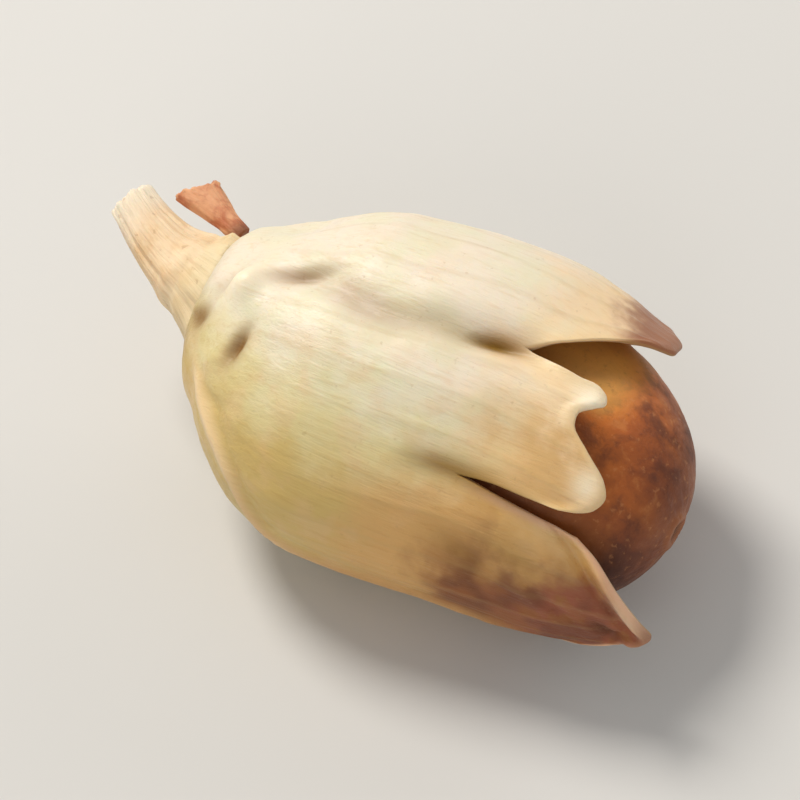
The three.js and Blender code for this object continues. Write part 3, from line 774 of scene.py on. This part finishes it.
def husk_common(g, color, loc, along, vein, edge):
    fibres = g.noise(loc, 1.0, 4.0, 0.6, (1.4, 17.0, 17.0), 0.3)
    fine = g.noise(loc, 1.0, 3.0, 0.6, (5.0, 52.0, 52.0))
    blotch = g.noise(loc, 2.3, 4.0, 0.55)
    specks = g.noise(loc, 16.0, 2.0, 0.5)
    color = g.mix(g.math("MULTIPLY", g.step(fibres, 0.5, 0.75), 0.28), color, g.mix(1.0, color, rgb(226, 202, 156), "MULTIPLY"))
    color = g.mix(g.math("MULTIPLY", g.step(fine, 0.55, 0.8), 0.16), color, rgb(196, 168, 118))
    color = g.mix(g.math("MULTIPLY", g.step(specks, 0.66, 0.76), 0.2), color, rgb(168, 128, 78))
    return color, fibres, fine, blotch, specks


def lower_material():
    g = Graph("lower_glume_skin")
    loc, along, around = g.attr("loc", True), g.attr("along"), g.attr("around")
    vein, edge, rim, inner, lobe = g.attr("vein"), g.attr("edge"), g.attr("rim"), g.attr("inner"), g.attr("lobe")
    wob = g.math("SUBTRACT", g.noise(loc, 1.6, 3.0, 0.5), 0.5)
    wob2 = g.math("SUBTRACT", g.noise(loc, 4.5, 3.0, 0.6), 0.5)
    a = g.math("ADD", around, g.math("ADD", g.math("MULTIPLY", wob, 42.0), g.math("MULTIPLY", wob2, 14.0)))
    x = g.math("ADD", along, g.math("ADD", g.math("MULTIPLY", wob, 1.3), g.math("MULTIPLY", wob2, 0.5)))
    flap = g.math("COMPARE", lobe, 0.0)
    g.nt.nodes[-1].inputs[2].default_value = 0.5
    middle = g.math("COMPARE", lobe, 1.0)
    g.nt.nodes[-1].inputs[2].default_value = 0.5

    color = IVORY
    # green cast over the crown of the husk
    green = g.math("MULTIPLY", g.step(g.noise(loc, 1.9, 2.0, 0.5), 0.38, 0.64), 0.55)
    green = g.math("ADD", g.math("MULTIPLY", green, 0.8), g.step(a, 4.0, -9.0, 0.0, 0.38))
    color = g.mix(green, color, GREENISH)
    # the lower side turns straw, then khaki: partly the husk's own colour, partly painted shade
    color = g.mix(g.step(a, -6.0, -30.0), color, STRAW)
    color = g.mix(g.step(a, -26.0, -52.0), color, g.mix(g.step(x, 1.7, 2.8), KHAKI, rgb(218, 170, 106)))
    # warm patches
    warm = g.math("MULTIPLY", g.step(g.noise(loc, 2.6, 3.0, 0.5), 0.5, 0.68), g.step(a, 12.0, -12.0, 0.1, 0.3))
    color = g.mix(warm, color, rgb(224, 186, 140))
    # tips of the upper and middle lobes: peach, then brown at the end
    color = g.mix(g.math("MULTIPLY", g.step(x, 2.7, 3.6), 0.75), color, PEACH)
    color = g.mix(g.math("MULTIPLY", g.math("MULTIPLY", g.step(x, 2.8, 3.7), g.step(a, 4.0, -10.0)), 0.85), color, TAN)
    # the flap: tan to brown, partly its own colour and partly painted shade, pinkish at the end
    on_flap = g.math("MULTIPLY", g.step(x, 2.0, 3.3), g.step(a, -26.0, -44.0))
    color = g.mix(on_flap, color, rgb(216, 168, 98))
    deep = g.math("MULTIPLY", g.step(x, 2.7, 3.6), g.step(a, -38.0, -66.0))
    color = g.mix(g.math("MULTIPLY", deep, 0.95), color, BROWN)
    pinkish = g.math("MULTIPLY", g.step(x, 3.6, 4.3), g.step(g.noise(loc, 3.4, 3.0, 0.55), 0.38, 0.54))
    color = g.mix(g.math("MULTIPLY", g.math("MULTIPLY", pinkish, g.step(a, -38.0, -64.0)), 0.8), color, PINK)
    dark = g.math("MULTIPLY", g.step(g.noise(loc, 1.7, 2.0, 0.5), 0.46, 0.62), g.step(x, 2.9, 3.7))
    color = g.mix(g.math("MULTIPLY", g.math("MULTIPLY", dark, g.step(a, -40.0, -56.0)), 0.6), color, rgb(98, 50, 18))
    color, fibres, fine, blotch, specks = husk_common(g, color, loc, along, vein, edge)
    # veins read a little darker than the skin, their crests paler near the tip
    color = g.mix(g.math("MULTIPLY", g.step(vein, 0.25, 0.9), 0.13), color, rgb(178, 150, 96))
    # tip of the upper lobe
    tip = g.math("MULTIPLY", g.step(x, 3.55, 4.05), g.step(around, 34.0, 46.0))
    # rim of the lower side
    color = g.mix(g.math("MULTIPLY", rim, 0.95), color, g.mix(g.step(along, 0.5, 2.4), RIM_CREAM, rgb(200, 154, 98)))
    # dry papery edges
    papery = g.math("MULTIPLY", g.step(edge, 0.16, 0.02), g.step(along, 3.0, 3.6))
    papery = g.math("MULTIPLY", papery, g.math("SUBTRACT", 1.0, g.math("MULTIPLY", middle, 0.55)))
    color = g.mix(papery, color, g.mix(flap, rgb(248, 212, 162), g.mix(g.step(along, 4.95, 5.2), rgb(226, 176, 138), rgb(158, 108, 76))))
    color = g.mix(g.math("MULTIPLY", tip, 0.9), color, rgb(148, 86, 54))
    # painted highlights on the collar knob, the ends of the two teeth, the valley's lit lower lip and the flap's point
    color = g.mix(g.attr("painted_highlight"), color, rgb(255, 236, 206))
    # painted shade in the folds at the base, in the valley, along the lower slit and in the flap's hollows, tinted
    # brown and olive
    crease_shade = g.attr("crease_shade")
    color = g.mix(crease_shade, color, g.mix(g.step(along, 3.7, 4.3), g.mix(g.step(along, 1.2, 2.4), rgb(140, 98, 42), OLIVE), rgb(104, 56, 28)))
    color = g.mix(g.math("MULTIPLY", inner, 0.8), color, rgb(176, 140, 92))
    rough = g.math("ADD", g.step(fibres, 0.3, 0.75, 0.36, 0.52), g.math("MULTIPLY", deep, 0.1))
    n = g.bump(fibres, 0.000012, 0.8)
    n = g.bump(fine, 0.000005, 0.8, n)
    n = g.bump(g.noise(loc, 30.0, 3.0, 0.6), 0.000004, 0.7, n)
    return g.finish(color, rough, n, Subsurface_Weight=0.22, Subsurface_Radius=(1.0, 0.62, 0.34), Subsurface_Scale=0.00028,
                    Specular_IOR_Level=0.42, Sheen_Weight=0.06, Sheen_Roughness=0.5)


def upper_material():
    g = Graph("upper_glume_skin")
    loc, along, around = g.attr("loc", True), g.attr("along"), g.attr("around")
    vein, edge, inner, keel = g.attr("vein"), g.attr("edge"), g.attr("inner"), g.attr("keel")
    wob = g.math("SUBTRACT", g.noise(loc, 1.5, 3.0, 0.5), 0.5)
    x = g.math("ADD", along, g.math("MULTIPLY", wob, 1.6))
    color = g.mix(g.step(g.noise(loc, 1.7, 3.0, 0.5), 0.4, 0.65), rgb(224, 206, 160), rgb(202, 180, 120))
    color = g.mix(g.math("MULTIPLY", g.step(x, 2.4, 3.8), 0.8), color, rgb(176, 124, 78))
    color = g.mix(g.math("MULTIPLY", g.step(x, 3.5, 4.4), 0.8), color, rgb(124, 78, 50))
    color, fibres, fine, blotch, specks = husk_common(g, color, loc, along, vein, edge)
    color = g.mix(g.math("MULTIPLY", g.step(vein, 0.25, 0.9), 0.22), color, rgb(170, 138, 88))
    color = g.mix(g.math("MULTIPLY", keel, 0.4), color, rgb(226, 196, 148))
    color = g.mix(g.math("MULTIPLY", g.step(edge, 0.2, 0.02), 0.6), color, rgb(216, 180, 132))
    color = g.mix(g.math("MULTIPLY", inner, 0.7), color, rgb(170, 134, 88))
    rough = g.step(fibres, 0.3, 0.75, 0.4, 0.56)
    n = g.bump(fibres, 0.000012, 0.8)
    n = g.bump(fine, 0.000005, 0.8, n)
    n = g.bump(g.noise(loc, 30.0, 3.0, 0.6), 0.000004, 0.7, n)
    return g.finish(color, rough, n, Subsurface_Weight=0.18, Subsurface_Radius=(1.0, 0.62, 0.34), Subsurface_Scale=0.00028,
                    Specular_IOR_Level=0.4)


def grain_material():
    g = Graph("grain_skin")
    own, loc = g.attr("own", True), g.attr("loc", True)
    scar, hilum, germ = g.attr("scar"), g.attr("hilum"), g.attr("germ")
    big = g.noise(own, 1.3, 4.0, 0.55, warp=0.4)
    mid = g.noise(own, 3.6, 4.0, 0.6, warp=0.3)
    small = g.noise(own, 13.0, 4.0, 0.6)
    pits = g.node("ShaderNodeTexVoronoi", {"Vector": own, "Scale": 11.0, "Randomness": 1.0}, feature="F1").outputs["Distance"]
    color = g.mix(g.step(big, 0.38, 0.62), rgb(212, 116, 42), rgb(176, 92, 36))
    color = g.mix(g.math("MULTIPLY", g.step(mid, 0.48, 0.68), 0.6), color, rgb(112, 58, 36))
    color = g.mix(g.math("MULTIPLY", g.step(mid, 0.44, 0.3), 0.55), color, rgb(208, 132, 66))
    sep = g.node("ShaderNodeSeparateXYZ", {"Vector": own})
    # purple-brown towards the end, partly the grain's own colour and partly painted shade, and painted shade on the
    # cheek
    end = g.math("MULTIPLY", g.step(g.math("ADD", sep.outputs[0], g.math("MULTIPLY", g.math("SUBTRACT", mid, 0.5), 1.2)), 1.1, 2.0), 0.62)
    color = g.mix(end, color, rgb(82, 40, 26))
    shaded_cheek = g.step(g.math("ADD", sep.outputs[1], g.math("MULTIPLY", g.math("SUBTRACT", big, 0.5), 1.4)), -0.1, -0.9)
    color = g.mix(g.math("MULTIPLY", shaded_cheek, 0.85), color, rgb(64, 30, 20))
    # painted light: the grain turned golden where the husk's upper lobe shades it
    lit_gold = g.math("MULTIPLY", g.step(g.math("ADD", sep.outputs[1], g.math("MULTIPLY", g.math("SUBTRACT", mid, 0.5), 0.5)), 0.3, 0.65),
                  g.step(sep.outputs[0], 1.35, 0.9))
    color = g.mix(g.math("MULTIPLY", lit_gold, 0.75), color, rgb(246, 182, 90))
    # painted contact shadow along the husk's margin
    color = g.mix(g.math("MULTIPLY", g.attr("margin_shadow"), 0.85), color, rgb(156, 84, 14))
    color = g.mix(g.math("MULTIPLY", g.step(small, 0.55, 0.75), 0.28), color, rgb(90, 46, 28))
    color = g.mix(g.math("MULTIPLY", g.step(small, 0.42, 0.3), 0.3), color, rgb(220, 150, 90))
    color = g.mix(g.math("MULTIPLY", g.step(pits, 0.16, 0.05), 0.08), color, rgb(84, 40, 26))
    color = g.mix(g.step(scar, 0.13, 0.07), color, rgb(40, 24, 18))
    color = g.mix(g.math("MULTIPLY", g.step(scar, 0.3, 0.14), 0.35), color, rgb(196, 128, 80))
    color = g.mix(g.step(hilum, 0.22, 0.1), color, rgb(30, 18, 14))
    color = g.mix(g.math("MULTIPLY", g.step(germ, 0.35, 0.7), 0.5), color, rgb(206, 150, 92))
    rough = g.step(mid, 0.3, 0.7, 0.44, 0.6)
    n = g.bump(mid, 0.00002, 0.6)
    n = g.bump(small, 0.00001, 0.9, n)
    n = g.bump(g.noise(own, 46.0, 3.0, 0.6), 0.000004, 0.8, n)
    return g.finish(color, rough, n, Subsurface_Weight=0.05, Subsurface_Radius=(1.0, 0.4, 0.2), Subsurface_Scale=0.0002,
                    Specular_IOR_Level=0.4, Coat_Weight=0.06, Coat_Roughness=0.4)


def stalk_material():
    g = Graph("stalk_fibre")
    loc, along, cut, turn = g.attr("loc", True), g.attr("along"), g.attr("cut"), g.attr("turn", True)
    fibres = g.noise(turn, 1.0, 4.0, 0.6, (9.0, 9.0, 2.4), 0.2)
    thin = g.noise(turn, 1.0, 3.0, 0.6, (34.0, 34.0, 5.0))
    blotch = g.noise(loc, 3.0, 4.0, 0.55)
    color = g.mix(g.step(blotch, 0.4, 0.65), rgb(245, 218, 180), rgb(234, 198, 152))
    color = g.mix(g.math("MULTIPLY", g.step(fibres, 0.5, 0.72), 0.45), color, rgb(206, 164, 116))
    color = g.mix(g.math("MULTIPLY", g.step(thin, 0.54, 0.75), 0.3), color, rgb(184, 138, 92))
    sep = g.node("ShaderNodeSeparateXYZ", {"Vector": loc})
    # greyer, greener shade on the callus
    color = g.mix(g.math("MULTIPLY", g.step(along, 0.5, 0.72), 0.45), color, rgb(220, 206, 160))
    # painted shade in the folds on the lower side of the callus, where the husk sits
    low = g.math("ADD", sep.outputs[1], g.math("MULTIPLY", g.math("SUBTRACT", blotch, 0.5), 0.5))
    color = g.mix(g.math("MULTIPLY", g.math("MULTIPLY", g.step(low, -0.08, -0.3), g.step(along, 0.6, 0.74)), 0.25), color, rgb(176, 140, 94))
    # painted shade at the callus's joint with the husk
    color = g.mix(g.math("MULTIPLY", g.step(along, 0.765, 0.797), 0.2), color, rgb(180, 144, 96))
    color = g.mix(g.math("MULTIPLY", g.step(cut, 0.05, 0.5), 0.6), color, rgb(226, 176, 126))
    # painted highlight: near-white towards the stalk's torn end
    color = g.mix(g.math("MULTIPLY", g.step(along, 0.34, 0.04), 0.8), color, rgb(255, 240, 216))
    speck = g.noise(loc, 12.0, 2.0, 0.5)
    color = g.mix(g.math("MULTIPLY", g.step(speck, 0.64, 0.74), 0.3), color, rgb(160, 110, 70))
    rough = g.step(fibres, 0.3, 0.7, 0.5, 0.66)
    n = g.bump(fibres, 0.00002, 0.9)
    n = g.bump(thin, 0.000008, 0.9, n)
    n = g.bump(g.noise(loc, 34.0, 3.0, 0.6), 0.000005, 0.8, n)
    return g.finish(color, rough, n, Subsurface_Weight=0.2, Subsurface_Radius=(1.0, 0.6, 0.35), Subsurface_Scale=0.00025,
                    Specular_IOR_Level=0.35)


def pedicel_material():
    g = Graph("pedicel_fibre")
    loc, along, cut = g.attr("loc", True), g.attr("along"), g.attr("cut")
    blotch = g.noise(loc, 5.0, 4.0, 0.55, warp=0.4)
    fibres = g.noise(loc, 1.0, 4.0, 0.6, (6.0, 22.0, 22.0))
    color = g.mix(g.step(blotch, 0.4, 0.62), rgb(224, 166, 124), rgb(196, 124, 88))
    color = g.mix(g.math("MULTIPLY", g.step(fibres, 0.52, 0.75), 0.5), color, rgb(158, 86, 56))
    # painted shade at the pedicel's root, where it meets the callus
    color = g.mix(g.math("MULTIPLY", g.step(along, 0.28, 0.05), 0.8), color, rgb(112, 56, 32))
    color = g.mix(g.math("MULTIPLY", g.step(cut, 0.02, 0.5), 0.6), color, rgb(244, 204, 162))
    rough = g.step(fibres, 0.3, 0.7, 0.5, 0.68)
    n = g.bump(fibres, 0.000014, 0.9)
    n = g.bump(g.noise(loc, 40.0, 3.0, 0.6), 0.000005, 0.8, n)
    return g.finish(color, rough, n, Subsurface_Weight=0.2, Subsurface_Radius=(1.0, 0.5, 0.3), Subsurface_Scale=0.0002,
                    Specular_IOR_Level=0.35)


# ---------------------------------------------------------------- pieces

husk = lower_glume(lower_material())
back = upper_glume(upper_material())
kernel = grain(grain_material())
stub = stalk(stalk_material())
spur = pedicel(pedicel_material())

# painted crease shade: a mask kept with the husk, from its own surface coordinates
me = husk.data
n = len(me.vertices)
x, deg, inner_mask = np.empty(n, np.float32), np.empty(n, np.float32), np.empty(n, np.float32)
me.attributes["along"].data.foreach_get("value", x)
me.attributes["around"].data.foreach_get("value", deg)
me.attributes["inner"].data.foreach_get("value", inner_mask)


def spots(rows):
    mask = np.zeros(n)
    for sx, sa, rl, rw, turn, depth in rows:
        r = math.sqrt(float(half_width(sx)) * float(dorsal(sx)))
        u, v = x - sx, np.radians(deg - sa) * r
        c, s = math.cos(math.radians(turn)), math.sin(math.radians(turn))
        mask = np.maximum(mask, depth * np.exp(-(((c * u + s * v) / rl) ** 2) - (((-s * u + c * v) / rw) ** 2)))
    return mask


crease_shade = spots([(0.62, -18.5, 0.2, 0.085, 76, 1.0), (0.1, -24, 0.17, 0.075, 72, 0.9), (0.9, 19.5, 0.26, 0.09, 22, 0.68), (0.2, 0, 0.2, 0.06, 62, 0.25),
               (2.89, 15.2, 0.35, 0.1, 9, 1.0), (3.35, 19, 0.16, 0.04, 20, 0.4),
               (0.03, -60, 0.06, 0.7, 0, 0.5), (3.3, -55, 0.3, 0.14, -20, 0.35), (3.86, -46, 0.36, 0.17, -12, 0.42),
               (4.3, -46, 0.32, 0.15, -20, 0.36), (4.82, -75, 0.18, 0.06, -37, 0.85)])
# painted shadow in the lower slit under the middle lobe, and painted shade along the valley
crease_shade = np.maximum(crease_shade, 0.85 * bump(deg, -28.0, 4.2) * smooth(2.3, 2.95, x) * (1 - smooth(3.6, 4.1, x)))
crease_shade = np.maximum(crease_shade, 0.4 * bump(deg, VALLEY(x), 5.0) * smooth(0.9, 1.5, x) * (1 - smooth(3.0, 3.4, x)))
me.attributes.new("crease_shade", "FLOAT", "POINT").data.foreach_set("value", (crease_shade * (1 - inner_mask)).astype(np.float32))
# painted highlights: the collar knob, the ends of the two teeth, the valley's lit lower lip and the flap's point
painted_highlight = spots([(0.44, 7, 0.27, 0.11, 59, 0.9), (3.92, 11, 0.17, 0.12, 0, 1.0), (4.2, -13.5, 0.14, 0.15, 0, 0.75), (3.3, 6, 0.4, 0.06, 8, 0.35),
              (4.93, -57, 0.26, 0.06, -37, 0.3)])
me.attributes.new("painted_highlight", "FLOAT", "POINT").data.foreach_set("value", (painted_highlight * (1 - inner_mask)).astype(np.float32))

# painted contact shadow on the grain's skin next to the husk's margin: 1 at the margin, 0 away from it
edge = np.empty(n, np.float32)
place_mm = np.empty(3 * n, np.float32)
me.attributes["edge"].data.foreach_get("value", edge)
me.attributes["loc"].data.foreach_get("vector", place_mm)
margin = place_mm.reshape(-1, 3)[(edge < 0.012) & (x > 2.95) & (inner_mask < 0.5)][::2]
skin = kernel.data
at = np.empty(3 * len(skin.vertices), np.float32)
skin.attributes["loc"].data.foreach_get("vector", at)
at = at.reshape(-1, 3)
gap = np.concatenate([np.sqrt(((q[:, None] - margin[None]) ** 2).sum(-1).min(1)) for q in np.array_split(at, 40)])
skin.attributes.new("margin_shadow", "FLOAT", "POINT").data.foreach_set("value", (1 - smooth(0.15, 0.46, gap)) * (1 - 0.75 * smooth(0.25, 0.7, at[:, 1])).astype(np.float32))

# ---------------------------------------------------------------- floor, lights, camera

lo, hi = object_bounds()
centre = (lo + hi) / 2
size = max(hi - lo)


def floor_material():
    g = Graph("floor_paint")
    tc = g.node("ShaderNodeTexCoord").outputs["Object"]
    soft = g.noise(tc, 60.0, 3.0, 0.5)
    color = g.mix(g.math("MULTIPLY", soft, 0.5), rgb(216, 214, 210), rgb(210, 208, 203))
    return g.finish(color, g.step(soft, 0.3, 0.7, 0.72, 0.8), g.bump(g.noise(tc, 4000.0, 2.0, 0.5), 0.000003, 0.4), Specular_IOR_Level=0.25)


me = bpy.data.meshes.new("floor")
s = 0.6
me.from_pydata([(-s, -s, 0), (s, -s, 0), (s, s, 0), (-s, s, 0)], [], [(0, 1, 2, 3)])
me.materials.append(floor_material())
floor = bpy.data.objects.new("floor", me)
floor.location.z = lo.z - 0.00001
bpy.context.scene.collection.objects.link(floor)

world = bpy.data.worlds.new("studio")
world.use_nodes = True
world.node_tree.nodes["Background"].inputs["Color"].default_value = (0.98, 0.985, 1.0, 1)
world.node_tree.nodes["Background"].inputs["Strength"].default_value = 0.36
bpy.context.scene.world = world


def area(name, direction, distance, width, value, color=(1, 1, 1)):
    d = Vector(direction).normalized()
    light = bpy.data.lights.new(name, "AREA")
    light.shape = "DISK"
    light.size = width
    light.energy = value * math.pi * math.pi * distance ** 2
    light.color = color
    ob = bpy.data.objects.new(name, light)
    ob.location = centre + d * distance
    ob.rotation_mode = "QUATERNION"
    ob.rotation_quaternion = d.to_track_quat("Z", "Y")
    bpy.context.scene.collection.objects.link(ob)


area("key", (-0.56, 0.24, 0.79), 0.075, 0.028, 0.83, (1.0, 0.965, 0.91))
area("fill", (0.15, -0.9, 0.5), 0.09, 0.06, 0.2, (1.0, 0.96, 0.9))
area("back_light", (0.35, 0.85, 0.45), 0.09, 0.05, 0.12, (1.0, 0.98, 0.96))

AZIMUTH, ELEVATION, LENS = 25.5, 55.0, 180.0
a, e = math.radians(AZIMUTH), math.radians(ELEVATION)
back_dir = Vector((math.sin(a) * math.cos(e), -math.cos(a) * math.cos(e), math.sin(e)))
right = Vector((math.cos(a), math.sin(a), 0))
up = back_dir.cross(right)
cam_data = bpy.data.cameras.new("camera")
cam_data.lens = LENS
cam_data.sensor_width = 36
cam_data.clip_start, cam_data.clip_end = 0.001, 2.0
cam = bpy.data.objects.new("camera", cam_data)
frame_width = 0.00765
distance = frame_width / (36 / LENS)
aim = centre + right * 0.00006 - up * 0.00012
cam.location = aim + back_dir * distance
cam.rotation_mode = "QUATERNION"
cam.rotation_quaternion = back_dir.to_track_quat("Z", "Y")
bpy.context.scene.collection.objects.link(cam)
bpy.context.scene.camera = cam

bpy.context.scene.view_settings.view_transform = "Standard"
bpy.context.scene.view_settings.look = "None"
